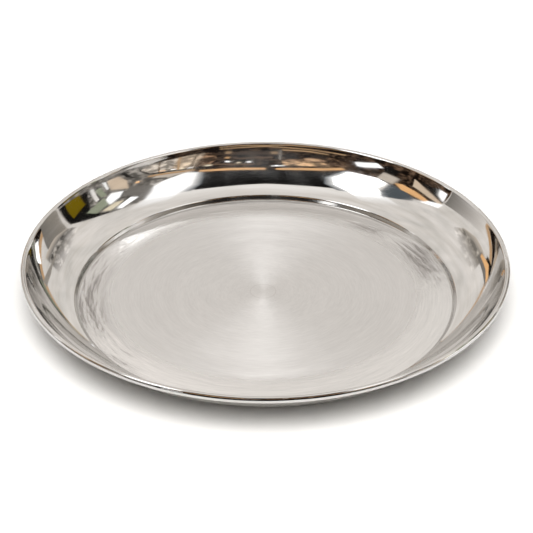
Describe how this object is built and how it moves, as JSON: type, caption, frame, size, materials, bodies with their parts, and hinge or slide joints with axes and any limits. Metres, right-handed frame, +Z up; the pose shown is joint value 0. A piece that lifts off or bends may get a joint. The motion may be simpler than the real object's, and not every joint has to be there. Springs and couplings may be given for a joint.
{
  "type": "thali plate",
  "caption": "Round shallow dinner dish of pressed stainless steel with a flat stepped floor, a hollow curved wall and a rolled rim.",
  "frame": {"origin": "on the table, under the middle of the flat underside", "axes": "+Z up along the axis of the dish, towards its open side; X and Y level and equivalent, because the dish is round"},
  "size_m": [0.3, 0.3, 0.029],
  "materials": {
    "stainless_steel": "floor brushed in circles to a satin, wall and rolled rim buffed bright"
  },
  "bodies": {
    "root": {"dish": "stainless_steel"}
  },
  "joints": []
}
